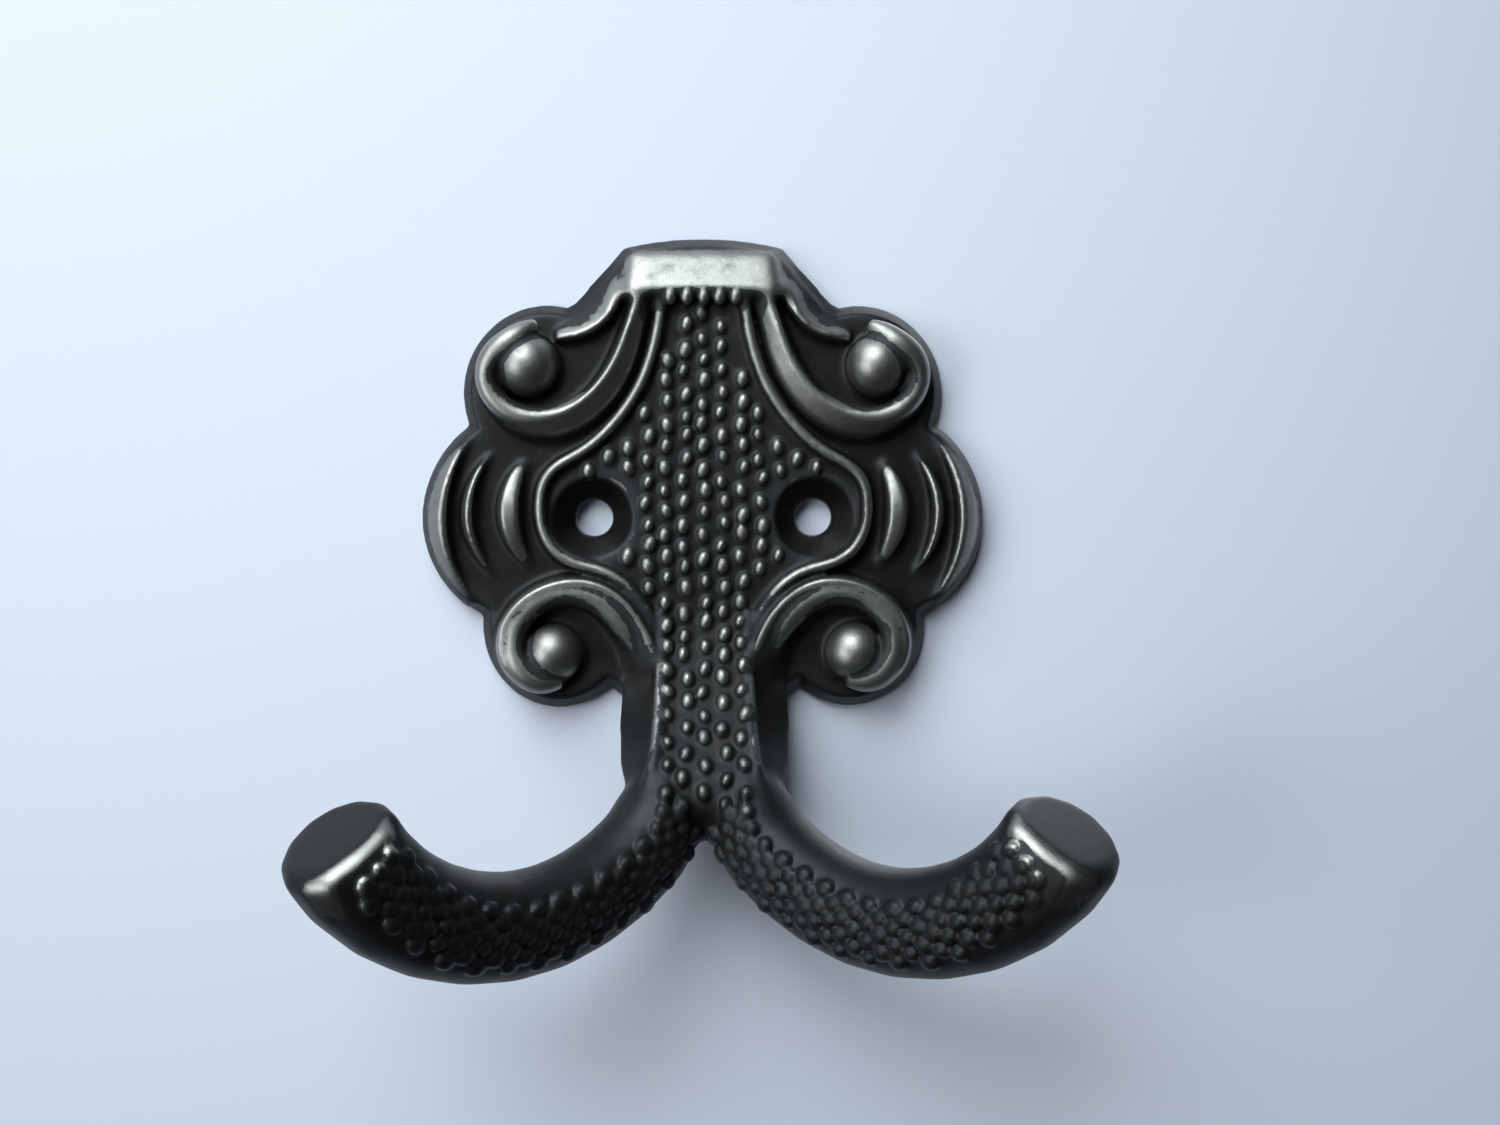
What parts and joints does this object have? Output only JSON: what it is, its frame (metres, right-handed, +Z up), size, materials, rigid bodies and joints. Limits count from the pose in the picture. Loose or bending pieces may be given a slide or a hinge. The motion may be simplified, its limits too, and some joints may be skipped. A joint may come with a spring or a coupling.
{
  "type": "double coat hook",
  "caption": "Cast wall coat hook: a lobed back plate with carved scrolls and fans, and a stem that forks into a pair of forward prongs.",
  "frame": {"origin": "on the wall, midway between the centres of the screw holes, at the plane of the plate's back face", "axes": "+X to the right as seen from the front, +Z up the wall, +Y into the wall, so the prongs reach out along -Y"},
  "size_m": [0.0802, 0.0375, 0.0793],
  "materials": {
    "casting": "satin"
  },
  "bodies": {
    "root": {"coat_hook": "casting"}
  },
  "joints": []
}
